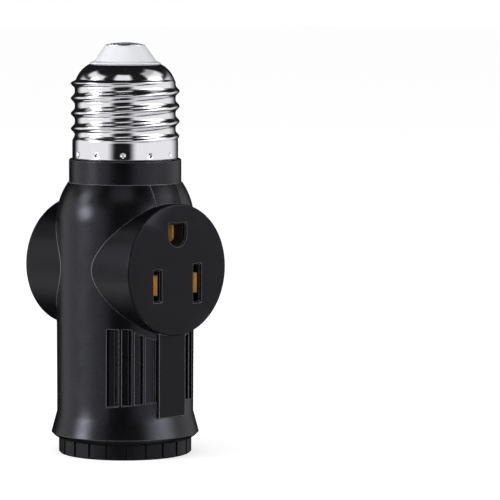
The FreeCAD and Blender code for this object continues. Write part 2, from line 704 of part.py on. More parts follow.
def leaf_pair(x, low, high):
    """Two facing leaves that flare at the mouth and pinch the blade."""
    rear = TAB_DISTANCE - TAB_LENGTH / 2
    path = [
        (LEAF_ENTRY_GAP / 2, -LEAF_FRONT),
        (LEAF_THROAT_GAP / 2, -LEAF_THROAT_DISTANCE),
        (LEAF_REAR_GAP / 2, -TAB_DISTANCE - TAB_LENGTH),
        (LEAF_REAR_GAP / 2, -rear),
    ]
    inner = [Vector(offset, y, low) for offset, y in path]
    outer = [Vector(offset + BRASS, y, low) for offset, y in reversed(path)]
    right = Part.Face(Part.Wire(outline(inner + outer))).extrude(Vector(0, 0, high - low))
    left = right.mirror(ORIGIN, Vector(1, 0, 0))
    pair = [right, left]
    for leaf in pair:
        leaf.translate(Vector(x, 0, 0))
    return pair


def blade_contact(x, tab_z, bridge_z):
    """Folded contact for one blade; its tab plate lies between the two levels."""
    leaves = leaf_pair(x, BLADE_Z - LEAF_WIDTH / 2, BLADE_Z + LEAF_WIDTH / 2)
    inner = LEAF_REAR_GAP / 2
    outer = inner + BRASS
    front = -TAB_DISTANCE - TAB_LENGTH / 2
    rear = -TAB_DISTANCE + TAB_LENGTH / 2
    low = min(tab_z, bridge_z, BLADE_Z)
    high = max(tab_z, bridge_z, BLADE_Z)
    plate = box(x - outer, x + outer, front, rear, min(tab_z, bridge_z), max(tab_z, bridge_z))
    arms = [
        box(x + inner, x + outer, front, rear, low, high),
        box(x - outer, x - inner, front, rear, low, high),
    ]
    contact = fused(leaves + arms + [plate])
    return single(contact.cut(disc(RIVET_RADIUS + SNUG, x, -TAB_DISTANCE, low, high)))


def make_live_contact():
    return blade_contact(-BLADE_X, LIVE_STRAP_TOP_Z, LIVE_STRAP_TOP_Z + BRASS)


def make_neutral_contact():
    return blade_contact(BLADE_X, NEUTRAL_STRAP_Z, NEUTRAL_STRAP_Z - BRASS)


def make_ground_contact():
    """Folded clip for the ground pin, bridged over the top."""
    inner = GROUND_LEAF_GAP / 2
    outer = inner + BRASS
    front = -GROUND_LEAF_FRONT
    rear = -TAB_DISTANCE + TAB_LENGTH / 2
    low = GROUND_Z - GROUND_LEAF_WIDTH / 2
    bridge_front = -TAB_DISTANCE - TAB_LENGTH
    leaves = [
        box(inner, outer, front, rear, low, GROUND_Z + GROUND_LEAF_WIDTH / 2),
        box(-outer, -inner, front, rear, low, GROUND_Z + GROUND_LEAF_WIDTH / 2),
        box(inner, outer, bridge_front, rear, low, GROUND_LINK_Z),
        box(-outer, -inner, bridge_front, rear, low, GROUND_LINK_Z),
        box(-outer, outer, bridge_front, rear, GROUND_BRIDGE_Z, GROUND_LINK_Z),
    ]
    hole = disc(RIVET_RADIUS + SNUG, 0, -TAB_DISTANCE, GROUND_BRIDGE_Z, GROUND_LINK_Z)
    return single(fused(leaves).cut(hole))


def strap(x, bottom, top):
    """A flat diagonal strap with round ends, from (x, front tab) to the rear one."""
    half = STRAP_WIDTH / 2
    length = 2 * math.hypot(x, TAB_DISTANCE)
    angle = math.degrees(math.atan2(TAB_DISTANCE, -x))
    bar = box(-length / 2, length / 2, -half, half, bottom, top)
    bar.rotate(ORIGIN, UP, angle)
    ends = [disc(half, x, -TAB_DISTANCE, bottom, top), disc(half, -x, TAB_DISTANCE, bottom, top)]
    return [bar] + ends


def tab_holes(x, bottom, top):
    """Rivet holes at both ends of a strap."""
    radius = RIVET_RADIUS + SNUG
    front = disc(radius, x, -TAB_DISTANCE, bottom, top)
    return [front, opposite(front)]


def make_live_strap():
    """Strap under the blocks, with a round pad over the tongue's rivet."""
    bottom = CUP_TOP_Z
    top = LIVE_STRAP_TOP_Z
    plate = fused(strap(-BLADE_X, bottom, top) + [cylinder(LIVE_PAD_RADIUS, bottom, top)])
    rivet_x = TONGUE_PIVOT_X + TONGUE_RIVET_DISTANCE
    plate = plate.cut(disc(TONGUE_RIVET_RADIUS + SNUG, rivet_x, 0, bottom, top))
    for hole in tab_holes(-BLADE_X, bottom, top):
        plate = plate.cut(hole)
    return single(plate)


def make_neutral_strap():
    """Strap over the blocks, with a lug for the two neutral leads."""
    bottom = NEUTRAL_STRAP_Z
    top = NEUTRAL_STRAP_TOP_Z
    half = STRAP_WIDTH / 2
    lug_end = LEAD_X + LEAD_RADIUS + POCKET_CLEARANCE
    lug = box(-lug_end, 0, -half, half, bottom, top)
    plate = fused(strap(BLADE_X, bottom, top) + [lug])
    for hole in tab_holes(BLADE_X, bottom, top):
        plate = plate.cut(hole)
    return single(plate)


def make_ground_link():
    """Straight strap between the two ground clips."""
    half = STRAP_WIDTH / 2
    bottom = GROUND_LINK_Z
    top = GROUND_LINK_Z + LINK_THICKNESS
    plate = box(-half, half, -TAB_DISTANCE, TAB_DISTANCE, bottom, top)
    ends = [disc(half, 0, -TAB_DISTANCE, bottom, top), disc(half, 0, TAB_DISTANCE, bottom, top)]
    plate = fused([plate] + ends)
    for hole in tab_holes(0, bottom, top):
        plate = plate.cut(hole)
    return single(plate)


def rivet(x, bottom, top):
    """Rivet through a tab and its strap, with a head on top."""
    shank = disc(RIVET_RADIUS, x, -TAB_DISTANCE, bottom, top)
    head = disc(RIVET_HEAD_RADIUS, x, -TAB_DISTANCE, top, top + RIVET_HEAD_HEIGHT)
    return fused([shank, head])


def make_contact_rivets():
    fronts = [
        rivet(-BLADE_X, CUP_TOP_Z, LIVE_STRAP_TOP_Z + BRASS),
        rivet(BLADE_X, NEUTRAL_STRAP_Z - BRASS, NEUTRAL_STRAP_TOP_Z),
        rivet(0, GROUND_BRIDGE_Z, GROUND_LINK_Z + LINK_THICKNESS),
    ]
    return Part.makeCompound(fronts + [opposite(piece) for piece in fronts])


def rod(start, end):
    """A straight run of a lead."""
    run = end - start
    return Part.makeCylinder(LEAD_RADIUS, run.Length, start, run)


def elbow(before, corner, after):
    """A bend of a lead, tangent to the runs on both sides of a corner, with its two ends."""
    into = (corner - before).normalize()
    out = (after - corner).normalize()
    turn = into.getAngle(out)
    cut_back = LEAD_BEND_RADIUS * math.tan(turn / 2)
    start = corner - into * cut_back
    axis = into.cross(out)
    centre = start + axis.cross(into).normalize() * LEAD_BEND_RADIUS
    section = Part.Face(Part.Wire(Part.makeCircle(LEAD_RADIUS, start, into)))
    return section.revolve(centre, axis, math.degrees(turn)), start, corner + out * cut_back


def make_lead(points):
    """A round insulated lead: straight runs joined by tangent bends."""
    pieces = []
    start = points[0]
    for before, corner, after in zip(points, points[1:], points[2:]):
        bend, bend_start, bend_end = elbow(before, corner, after)
        pieces.append(rod(start, bend_start))
        pieces.append(bend)
        start = bend_end
    pieces.append(rod(start, points[-1]))
    return single(fused(pieces))


def live_lead_points():
    low_bend = SHOULDER_END_Z - LEAD_X / 2
    high_bend = SHOULDER_END_Z + LEAD_X / 2
    return [
        half_point(LEAD_X, LIVE_STRAP_TOP_Z),
        half_point(LEAD_X, low_bend),
        half_point(0, high_bend),
        half_point(0, STEM_BOTTOM_Z),
    ]


def neutral_lead_points():
    sideways = NECK_LEAD_X - LEAD_X
    low_bend = SHOULDER_END_Z - sideways / 2
    high_bend = SHOULDER_END_Z + sideways / 2
    over_boss = SKIRT_TOP_Z + LEAD_BEND_RADIUS
    return [
        half_point(-LEAD_X, NEUTRAL_STRAP_TOP_Z),
        half_point(-LEAD_X, low_bend),
        half_point(-NECK_LEAD_X, high_bend),
        half_point(-NECK_LEAD_X, over_boss),
        half_point(-THREAD_ROOT_RADIUS + SHEET + FIT, over_boss),
    ]


def lamp_lead_points():
    return [
        half_point(-LEAD_X, NEUTRAL_STRAP_Z),
        half_point(-LEAD_X, LAMP_LEAD_TURN_Z),
        half_point(-LAMP_LEAD_END_X, LAMP_LEAD_TURN_Z),
        half_point(-LAMP_LEAD_END_X, CUP_FLOOR_UNDERSIDE_Z),
    ]


def block_pockets():
    """Cavities in the front block for its contacts, straps, rivets and leads."""
    gap = POCKET_CLEARANCE
    half = POCKET_WIDTH / 2
    tab_front = -TAB_DISTANCE - TAB_LENGTH / 2 - gap
    tab_rear = -TAB_DISTANCE + TAB_LENGTH / 2 + gap
    blade_rear = -BLOCK_PARTING_WALL
    bottom = POD_CENTRE_Z - POD_RADIUS
    top = POD_CENTRE_Z + POD_RADIUS
    pockets = []
    for x, height in ((-BLADE_X, LIVE_SLOT_HEIGHT), (BLADE_X, NEUTRAL_SLOT_HEIGHT)):
        low = BLADE_Z - height / 2
        high = BLADE_Z + height / 2
        pockets.append(box(x - half, x + half, -FACE_BACK, tab_rear, low, high))
        blade_half = SLOT_WIDTH / 2
        pockets.append(box(x - blade_half, x + blade_half, -FACE_BACK, blade_rear, low, high))
    pockets.append(box(-BLADE_X - half, -BLADE_X + half, tab_front, tab_rear, bottom, BLADE_Z))
    pockets.append(box(BLADE_X - half, BLADE_X + half, tab_front, tab_rear, BLADE_Z, top))
    tunnel = Part.Face(ground_wire(0, -FACE_BACK)).extrude(Vector(0, FACE_BACK, 0))
    clip_half = GROUND_LEAF_GAP / 2 + BRASS + gap
    clip_front = -GROUND_LEAF_FRONT - gap
    clip_low = GROUND_Z - GROUND_HOLE_RADIUS
    clip_top = GROUND_LINK_Z + gap
    pockets.append(tunnel)
    pockets.append(box(-clip_half, clip_half, clip_front, tab_rear, clip_low, clip_top))
    link_half = STRAP_WIDTH / 2 + gap
    link_front = -TAB_DISTANCE - link_half
    link_top = GROUND_LINK_Z + LINK_THICKNESS + RIVET_HEAD_HEIGHT + gap
    pockets.append(box(-link_half, link_half, link_front, 0, GROUND_LINK_Z - FIT, link_top))
    return pockets


def lead_channels():
    """Square channels in a block's flat back for the leads, alike on both sides."""
    half = LEAD_RADIUS + LEAD_CLEARANCE
    bend = LEAD_BEND_RADIUS
    turn = LAMP_LEAD_TURN_Z
    end = LAMP_LEAD_END_X
    bottom = POD_CENTRE_Z - POD_RADIUS
    top = POD_CENTRE_Z + POD_RADIUS
    areas = [
        (LEAD_X - half, LEAD_X + half, bottom, top),
        (LEAD_X - half, end + half, turn - half, turn + half),
        (LEAD_X, LEAD_X + bend, turn, turn + bend),
        (end - bend, end, turn - bend, turn),
        (end - half, end + half, bottom, turn),
    ]
    channels = []
    for left, right, low, high in areas:
        channels.append(box(left, right, -half, half, low, high))
        channels.append(box(-right, -left, -half, half, low, high))
    return channels


def make_contact_block():
    """Insulating drum behind one outlet face, up to the middle of the adapter."""
    block = pod_cylinder(BLOCK_RADIUS, -FACE_BACK, 0)
    for pocket in block_pockets() + lead_channels():
        block = block.cut(pocket)
    return single(block)


def make_parts():
    cover = make_outlet_cover()
    block = make_contact_block()
    live = make_live_contact()
    neutral = make_neutral_contact()
    ground = make_ground_contact()
    return {
        "housing": make_housing(),
        "front_outlet_cover": cover,
        "rear_outlet_cover": opposite(cover),
        "base_ring": make_base_ring(),
        "screw_shell": make_screw_shell(),
        "cap_insulator": make_cap_insulator(),
        "centre_contact": make_centre_contact(),
        "socket_shell": make_socket_shell(),
        "socket_insulator": make_socket_insulator(),
        "lamp_contact": make_lamp_contact(),
        "lamp_contact_rivet": make_lamp_contact_rivet(),
        "front_contact_block": block,
        "rear_contact_block": opposite(block),
        "front_live_contact": live,
        "rear_live_contact": opposite(live),
        "front_neutral_contact": neutral,
        "rear_neutral_contact": opposite(neutral),
        "front_ground_contact": ground,
        "rear_ground_contact": opposite(ground),
        "live_strap": make_live_strap(),
        "neutral_strap": make_neutral_strap(),
        "ground_link": make_ground_link(),
        "contact_rivets": make_contact_rivets(),
        "live_lead": make_lead(live_lead_points()),
        "neutral_lead": make_lead(neutral_lead_points()),
        "lamp_neutral_lead": make_lead(lamp_lead_points()),
    }


os.makedirs("parts", exist_ok=True)
for name, shape in make_parts().items():
    shape.exportStep("parts/" + name + ".step")
    print(name, len(shape.Solids), shape.isValid(), round(shape.Volume, 2))
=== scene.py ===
import math

import bpy
import numpy as np
from mathutils import Matrix, Vector


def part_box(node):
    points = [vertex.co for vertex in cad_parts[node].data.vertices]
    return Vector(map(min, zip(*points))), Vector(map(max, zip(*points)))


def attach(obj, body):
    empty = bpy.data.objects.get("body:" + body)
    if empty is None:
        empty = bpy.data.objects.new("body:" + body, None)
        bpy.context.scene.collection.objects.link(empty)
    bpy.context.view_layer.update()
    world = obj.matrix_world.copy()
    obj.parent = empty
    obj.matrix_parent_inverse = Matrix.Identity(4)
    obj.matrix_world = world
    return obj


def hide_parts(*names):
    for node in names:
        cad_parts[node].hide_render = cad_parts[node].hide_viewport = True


# Looks for the light socket outlet adapter: finer meshes for its two threaded shells,
# materials, camera, studio light and floor. The object's sizes are in millimetres, and
# those of the camera, lamps, cards and floor are in metres. Angles are in degrees.

MM = 0.001
TURN = 2 * math.pi

# Camera, fitted to the photo; azimuth 0 faces the front outlet
CAMERA_AZIMUTH = -41.66
CAMERA_ELEVATION = 4.85
CAMERA_DISTANCE = 0.747
CAMERA_PAN = 2.305
CAMERA_TARGET_Z = 0.0488
CAMERA_LENS = 223.2
SENSOR_WIDTH = 36.0
CLIP_START = 0.01
CLIP_END = 20.0

# Thread of both shells; the fades are the heights over which it rises from nothing at
# its lower and upper end
PITCH = 3.629
THREAD_DEPTH = 0.95
CREST_RADIUS = 13.05
CREST_SHARPNESS = 1.9
CREST_ABOVE_SKIRT = 10.39
CREST_ANGLE = 138.3
LOW_FADE = PITCH / 2
HIGH_FADE = PITCH / 4

# Screw shell: sheet, skirt, thread and the shoulder above it as (radius, rise) points
SHEET = 0.4
SKIRT_RADIUS = 12.7
SKIRT_HEIGHT = 4.0
SKIRT_LIP = 0.1
THREAD_LENGTH = 15.1
THREAD_END_RADIUS = 11.75
DOME_MIDDLE = (10.35, 2.2)
DOME_TOP = (7.9, 3.8)
DIMPLES = 12
DIMPLE_ANGLE = 16.0
DIMPLE_ABOVE_COLLAR = 1.2
DIMPLE_DEPTH = 0.35
DIMPLE_RADIUS = 0.75

# Lamp socket shell
SOCKET_SHEET = 0.35
SOCKET_RADIUS = 13.0
SOCKET_LEAD_IN = 1.5
SOCKET_TURNS = 4
SOCKET_CLEARANCE = 0.3
SOCKET_FLANGE_RADIUS = 9.0

# Mesh of the shells: points in a ring, distances between rings, rings over the shoulder
AROUND = 320
FINEST = 0.1
FINE = 0.14
COARSE = 0.45
DOME_ROWS = 18
DOME_INSIDE_ROWS = 9

# Smoothing: corners above these angles stay sharp, and points within the merge
# distance, in metres, are joined
SHARP_CORNER = 24
SHARP_SHELL_CORNER = 50
MERGE_DISTANCE = 1e-6

# Grain and sheen of the materials: noise scales are per metre, and a sheen wanders by a
# share of the roughness each way, between two noise values
NOISE_LOW = 0.35
NOISE_HIGH = 0.65
GRAIN_SCALE = 2600.0
GRAIN_DETAIL = 2.0
GRAIN_DEPTH = 0.05
PLASTIC_SHEEN_SCALE = 260.0
PLASTIC_SHEEN_DETAIL = 2.0
PLASTIC_WANDER = 0.1
PLASTIC_BEVEL_SAMPLES = 8
METAL_SHEEN_SCALE = 420.0
METAL_SHEEN_DETAIL = 4.0
METAL_WANDER = 0.3
METAL_BEVEL_SAMPLES = 6

# Painted edge highlights: an edge is painted paler where the rounded normal leaves the flat
# one by more than the first cosine, fully from the second one on
EDGE_HIGHLIGHT_FROM = 0.995
EDGE_HIGHLIGHT_FULLY = 0.86
# Paler greys painted on the rounded edges as edge highlights
EDGE_HIGHLIGHT_GREY = (0.28, 0.28, 0.3)
HOUSING_EDGE_HIGHLIGHT_GREY = (0.15, 0.15, 0.165)
BLUE_SHEEN = (0.84, 0.85, 1.0)

# Lamps: name, azimuth beside the camera, elevation, distance, width, height and power
LAMPS = (
    ("left box", -72, 17, 0.8, 0.2, 0.3, 3.5),
    ("right box", 68, 18, 0.8, 0.46, 0.26, 1.3),
    ("front fill", 12, 12, 1.0, 0.3, 0.3, 2.2),
)
LAMP_TARGET_Z = 0.05

# Black cards that only reflections see, in front of the white surroundings: azimuths
# beside the camera, elevations, softness of the edges each way, and how dark
CARDS = (
    ((-30, 54), (-44, -18), (10, 6), 0.5),
    ((-32, 28), (8, 38), (9, 4), 1.0),
    ((-36, 34), (-60, -44), (5, 5), 0.45),
    ((175, 231), (-90, 74), (14, 5), 1.0),
    ((136, 200), (-90, 74), (24, 5), 1.0),
    ((-200, -30), (24, 34), (6, 4), 0.95),
    ((26, 200), (24, 34), (6, 4), 0.95),
    ((-200, -36), (-56, -34), (5, 8), 0.9),
    ((34, 200), (-56, -30), (5, 8), 0.9),
    ((-200, -120), (30, 74), (8, 5), 1.0),
    ((-62, -30), (30, 74), (6, 5), 1.0),
    ((17, 64), (30, 74), (6, 5), 1.0),
    ((124, 200), (30, 74), (8, 5), 1.0),
    ((-126, -56), (50, 74), (6, 4), 1.0),
    ((58, 130), (50, 74), (6, 4), 0.5),
    ((-200, 200), (63, 100), (5, 4), 1.0),
    ((-200, 200), (-100, -84), (5, 4), 1.0),
)
# The round card in front: azimuth, elevation, half width and half height
ROUND_CARD = (-7, -3, 34, 20)
ROUND_CARD_EDGE = 1.8
CARD_BLACK = (0.012, 0.012, 0.014)

# Bright boxes that only reflections see: azimuth, elevation, half sizes and level
BOXES = (
    (-72, 13, 18, 13, 19.0),
    (-76, -22, 30, 13, 4.5),
    (62, 16, 34, 13, 7.5),
    (82, 32, 32, 12, 7.0),
    (-84, 31, 16, 12, 9.0),
)

# The ball around the object that carries cards and boxes
BALL_RADIUS = 2.5
BALL_COLUMNS = 360
BALL_ROWS = 180
BALL_TOP = 89.5

# White surroundings and floor, as they are seen and as they light the object
SURROUNDINGS_SEEN = 1.0
SURROUNDINGS_LIGHT = 0.55
FLOOR_REACH = 6.0
FLOOR_GREY = 0.88
FLOOR_ROUGHNESS = 0.9
FLOOR_GLOW_SEEN = 0.5


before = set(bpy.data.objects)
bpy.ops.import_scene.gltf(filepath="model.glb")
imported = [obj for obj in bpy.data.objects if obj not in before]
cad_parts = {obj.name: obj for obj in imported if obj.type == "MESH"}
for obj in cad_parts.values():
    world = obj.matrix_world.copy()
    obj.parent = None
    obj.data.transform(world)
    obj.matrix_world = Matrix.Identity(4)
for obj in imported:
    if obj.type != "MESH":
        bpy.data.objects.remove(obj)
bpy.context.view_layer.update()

COLLAR_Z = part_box("screw_shell")[0][2] / MM
SKIRT_TOP_Z = COLLAR_Z + SKIRT_HEIGHT
THREAD_END_Z = SKIRT_TOP_Z + THREAD_LENGTH
CREST_Z = SKIRT_TOP_Z + CREST_ABOVE_SKIRT
SOCKET_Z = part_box("socket_shell")[0][2] / MM
SOCKET_TOP_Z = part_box("socket_shell")[1][2] / MM


# Materials


def new_material(name):
    material = bpy.data.materials.new(name)
    material.use_nodes = True
    tree = material.node_tree
    return material, tree, tree.nodes["Principled BSDF"]


def link(tree, a, a_socket, b, b_socket):
    tree.links.new(a.outputs[a_socket], b.inputs[b_socket])


def noise(tree, scale, detail):
    """Noise in the object's own coordinates."""
    place = tree.nodes.new("ShaderNodeTexCoord")
    node = tree.nodes.new("ShaderNodeTexNoise")
    node.inputs["Scale"].default_value = scale
    node.inputs["Detail"].default_value = detail
    link(tree, place, "Object", node, "Vector")
    return node


def wandering_roughness(tree, shader, roughness, wander, scale, detail):
    """Gives the shader a roughness that wanders by a share of itself each way."""
    node = tree.nodes.new("ShaderNodeMapRange")
    node.inputs["From Min"].default_value = NOISE_LOW
    node.inputs["From Max"].default_value = NOISE_HIGH
    node.inputs["To Min"].default_value = roughness * (1 - wander)
    node.inputs["To Max"].default_value = roughness * (1 + wander)
    link(tree, noise(tree, scale, detail), "Fac", node, "Value")
    link(tree, node, "Result", shader, "Roughness")


def rounded_edges(tree, radius, samples):
    """A normal that rounds the edges."""
    node = tree.nodes.new("ShaderNodeBevel")
    node.samples = samples
    node.inputs["Radius"].default_value = radius * MM
    return node


def painted_edge_highlights(tree, shader, bevel, colour, edge_highlight_colour):
    """Gives the shader a colour that turns paler on the rounded edges, a painted edge
    highlight.
    """
    flat = tree.nodes.new("ShaderNodeNewGeometry")
    dot = tree.nodes.new("ShaderNodeVectorMath")
    dot.operation = "DOT_PRODUCT"
    link(tree, bevel, "Normal", dot, 0)
    link(tree, flat, "Normal", dot, 1)
    # Mask of the painted edge highlight
    edge_highlight = tree.nodes.new("ShaderNodeMapRange")
    edge_highlight.inputs["From Min"].default_value = EDGE_HIGHLIGHT_FROM
    edge_highlight.inputs["From Max"].default_value = EDGE_HIGHLIGHT_FULLY
    link(tree, dot, "Value", edge_highlight, "Value")
    mix = tree.nodes.new("ShaderNodeMix")
    mix.data_type = "RGBA"
    mix.inputs["A"].default_value = (*colour, 1)
    mix.inputs["B"].default_value = (*edge_highlight_colour, 1)
    link(tree, edge_highlight, "Result", mix, "Factor")
    link(tree, mix, "Result", shader, "Base Color")


def grain_bump(tree, strength):
    """A normal with the plastic's fine grain."""
    node = tree.nodes.new("ShaderNodeBump")
    node.inputs["Strength"].default_value = strength
    node.inputs["Distance"].default_value = GRAIN_DEPTH * MM
    link(tree, noise(tree, GRAIN_SCALE, GRAIN_DETAIL), "Fac", node, "Height")
    return node


def plastic(name, colour, roughness, specular=0.5, grain=0.0, edge=0.0, edge_highlight_colour=None):
    """Moulded plastic with a faint grain and softly rounded edges, perhaps with painted edge
    highlights.
    """
    material, tree, shader = new_material(name)
    shader.inputs["Base Color"].default_value = (*colour, 1)
    shader.inputs["Specular IOR Level"].default_value = specular
    shader.inputs["Specular Tint"].default_value = (*BLUE_SHEEN, 1)
    wandering_roughness(
        tree, shader, roughness, PLASTIC_WANDER, PLASTIC_SHEEN_SCALE, PLASTIC_SHEEN_DETAIL
    )
    if not edge:
        return material
    bevel = rounded_edges(tree, edge, PLASTIC_BEVEL_SAMPLES)
    normal = bevel
    # Painted edge highlight: the rounded edges get a paler colour
    if edge_highlight_colour:
        painted_edge_highlights(tree, shader, bevel, colour, edge_highlight_colour)
    if grain:
        normal = grain_bump(tree, grain)
        link(tree, bevel, "Normal", normal, "Normal")
    link(tree, normal, "Normal", shader, "Normal")
    return material


def metal(name, colour, roughness, wander=METAL_WANDER, metallic=1.0, edge=0.0):
    """Metal whose polish wanders a little."""
    material, tree, shader = new_material(name)
    shader.inputs["Base Color"].default_value = (*colour, 1)
    shader.inputs["Metallic"].default_value = metallic
    wandering_roughness(
        tree, shader, roughness, wander, METAL_SHEEN_SCALE, METAL_SHEEN_DETAIL
    )
    if edge:
        bevel = rounded_edges(tree, edge, METAL_BEVEL_SAMPLES)
        link(tree, bevel, "Normal", shader, "Normal")
    return material


housing_black = plastic(
    "housing black",
    (0.002, 0.002, 0.0024),
    roughness=0.27,
    specular=0.32,
    grain=0.03,
    edge=0.24,
    edge_highlight_colour=HOUSING_EDGE_HIGHLIGHT_GREY,
)
outlet_black = plastic(
    "outlet black",
    (0.0024, 0.0024, 0.003),
    roughness=0.3,
    specular=0.15,
    grain=0.03,
    edge=0.2,
    edge_highlight_colour=EDGE_HIGHLIGHT_GREY,
)
ring_black = plastic(
    "ring black", (0.003, 0.003, 0.0035), roughness=0.36, specular=0.15, grain=0.03, edge=0.2
)
cap_white = plastic("cap white", (0.77, 0.78, 0.81), roughness=0.3, edge=0.1)
cup_grey = plastic(
    "cup insulator", (0.62, 0.6, 0.54), roughness=0.5, specular=0.4, grain=0.1, edge=0.1
)
block_grey = plastic(
    "contact block", (0.012, 0.012, 0.013), roughness=0.5, specular=0.3, grain=0.1, edge=0.1
)
wire_black = plastic("wire black", (0.02, 0.02, 0.02), roughness=0.45)
wire_white = plastic("wire white", (0.7, 0.7, 0.68), roughness=0.45)
nickel = metal("bright nickel", (0.77, 0.77, 0.8), roughness=0.08)
tin = metal("tinned contact", (0.66, 0.67, 0.7), roughness=0.5)
socket_metal = metal("socket metal", (0.74, 0.72, 0.68), roughness=0.2)
brass = metal(
    "stamped brass", (1.0, 0.58, 0.09), roughness=0.42, wander=0.25, metallic=0.4, edge=0.1
)

LOOKS = {
    "housing": housing_black,
    "front_outlet_cover": outlet_black,
    "rear_outlet_cover": outlet_black,
    "base_ring": ring_black,
    "cap_insulator": cap_white,
    "centre_contact": tin,
    "socket_insulator": cup_grey,
    "front_contact_block": block_grey,
    "rear_contact_block": block_grey,
    "live_lead": wire_black,
    "neutral_lead": wire_white,
    "lamp_neutral_lead": wire_white,
}


def smooth_by_angle(limit):
    """A node group that joins split corners and keeps only sharp edges sharp."""
    group = bpy.data.node_groups.new("smooth by angle", "GeometryNodeTree")
    for way in ("INPUT", "OUTPUT"):
        group.interface.new_socket("Geometry", in_out=way, socket_type="NodeSocketGeometry")
    make = group.nodes.new
    enter = make("NodeGroupInput")
    leave = make("NodeGroupOutput")
    merge = make("GeometryNodeMergeByDistance")
    merge.inputs["Distance"].default_value = MERGE_DISTANCE
    faces = make("GeometryNodeSetShadeSmooth")
    edges = make("GeometryNodeSetShadeSmooth")
    edges.domain = "EDGE"
    edges.inputs["Shade Smooth"].default_value = False
    angle = make("GeometryNodeInputMeshEdgeAngle")
    over = make("FunctionNodeCompare")
    over.data_type = "FLOAT"
    over.operation = "GREATER_THAN"
    over.inputs["B"].default_value = math.radians(limit)
    link(group, enter, "Geometry", merge, "Geometry")
    link(group, merge, "Geometry", faces, "Geometry")
    link(group, faces, "Geometry", edges, "Geometry")
    link(group, angle, "Unsigned Angle", over, "A")
    link(group, over, "Result", edges, "Selection")
    link(group, edges, "Geometry", leave, "Geometry")
    return group


def smooth(pieces, limit):
    """Shades pieces smooth apart from their corners above an angle."""
    group = smooth_by_angle(limit)
    for piece in pieces:
        modifier = piece.modifiers.new("smooth", "NODES")
        modifier.node_group = group


for name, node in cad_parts.items():
    node.data.materials.clear()
    node.data.materials.append(LOOKS.get(name, brass))
smooth(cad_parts.values(), SHARP_CORNER)


# Threaded shells


def ease(value):
    """A smooth step from 0 to 1."""
    value = np.clip(value, 0, 1)
    return value * value * (3 - 2 * value)


def thread_radius(angle, z, bottom, top, ends, middle):
    """Distance of the thread's surface from the axis; it fades out at bottom and top."""
    from_bottom = ease((z - bottom) / LOW_FADE)
    from_top = ease((top - z) / HIGH_FADE)
    present = from_bottom * from_top
    radius = middle + (ends[0] - middle) * (1 - from_bottom)
    radius += (ends[1] - middle) * (1 - from_top)
    toward = angle - math.radians(CREST_ANGLE) - TURN * (z - CREST_Z) / PITCH
    wave = (0.5 + 0.5 * np.cos(toward)) ** CREST_SHARPNESS
    return radius + THREAD_DEPTH * present * (wave - 0.5)


def levels(start, end, step):
    """Evenly spaced heights from start to end, about a step apart."""
    count = max(2, int(abs(end - start) / step) + 1)
    return np.linspace(start, end, count)


def arc_through(a, b, c, count):
    """Points of the circle arc through three (radius, z) points."""
    (ax, ay), (bx, by), (cx, cy) = a, b, c
    d = 2 * (ax * (by - cy) + bx * (cy - ay) + cx * (ay - by))
    a2, b2, c2 = ax * ax + ay * ay, bx * bx + by * by, cx * cx + cy * cy
    x = (a2 * (by - cy) + b2 * (cy - ay) + c2 * (ay - by)) / d
    y = (a2 * (cx - bx) + b2 * (ax - cx) + c2 * (bx - ax)) / d
    size = math.hypot(ax - x, ay - y)
    first = math.atan2(ay - y, ax - x)
    last = math.atan2(cy - y, cx - x)
    turns = np.linspace(first, last, count)
    return [(x + size * math.cos(turn), y + size * math.sin(turn)) for turn in turns]


def ring_angles():
    return np.arange(AROUND) * TURN / AROUND


def wall_mesh(name, rows, material):
    """A closed wall from rows, each the radius by angle and the height of a ring."""
    angles = ring_angles()
    points = []
    for radius, z in rows:
        ring = zip(np.broadcast_to(radius, (AROUND,)), angles)
        points += [(r * math.cos(t) * MM, r * math.sin(t) * MM, z * MM) for r, t in ring]
    faces = []
    for row in range(len(rows)):
        low = row * AROUND
        high = (row + 1) % len(rows) * AROUND
        for column in range(AROUND):
            beside = (column + 1) % AROUND
            faces.append((low + column, low + beside, high + beside, high + column))
    mesh = bpy.data.meshes.new(name)
    mesh.from_pydata(points, [], faces)
    mesh.materials.append(material)
    mesh.polygons.foreach_set("use_smooth", [True] * len(faces))
    piece = bpy.data.objects.new(name, mesh)
    bpy.context.scene.collection.objects.link(piece)
    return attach(piece, "adapter")


def dimples(angles, z):
    """How deep the punch marks near the shell's foot go in, by angle at a height."""
    spacing = TURN / DIMPLES
    first = math.radians(DIMPLE_ANGLE)
    off = (angles - first + spacing / 2) % spacing - spacing / 2
    away = np.hypot(off * SKIRT_RADIUS, z - COLLAR_Z - DIMPLE_ABOVE_COLLAR)
    return DIMPLE_DEPTH * (1 - ease(away / DIMPLE_RADIUS))


def dome(inset, count):
    """The shell's shoulder above the thread, as (radius, z) points."""
    (middle, rise), (top, height) = DOME_MIDDLE, DOME_TOP
    return arc_through(
        (THREAD_END_RADIUS - inset, THREAD_END_Z),
        (middle - inset, THREAD_END_Z + rise - inset / 2),
        (top - inset / 2, THREAD_END_Z + height - inset),
        count,
    )


